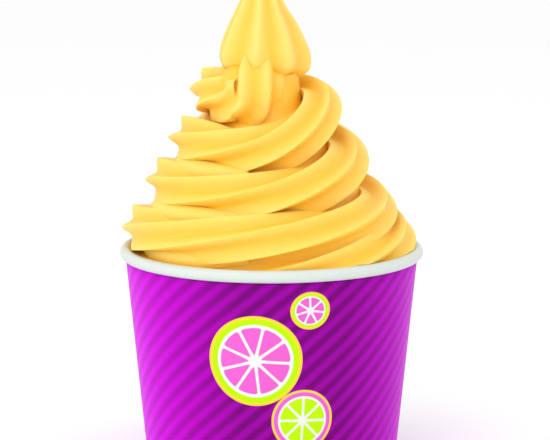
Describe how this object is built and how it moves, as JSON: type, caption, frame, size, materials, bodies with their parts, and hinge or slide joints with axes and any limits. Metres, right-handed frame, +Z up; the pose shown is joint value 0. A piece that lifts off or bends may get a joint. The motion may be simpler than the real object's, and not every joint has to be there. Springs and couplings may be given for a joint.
{
  "type": "sorbet cup",
  "caption": "Ribbed rope of mango sorbet coiled up to a lobed peak in a round tapered paper cup with a rolled rim.",
  "frame": {"origin": "centre of the cup's foot, on the surface that it stands on", "axes": "+Z up through the cup, -Y towards the front of the print, +X to its right"},
  "size_m": [0.0978, 0.0978, 0.1665],
  "materials": {
    "printed_paper": "coated paper printed with purple diagonal stripes",
    "white_paper": "coated white paper",
    "sorbet": "frozen mango yellow, satin, finely grained"
  },
  "bodies": {
    "root": {"cup_wall": "printed_paper", "cup_base": "white_paper", "sorbet": "sorbet"}
  },
  "joints": []
}
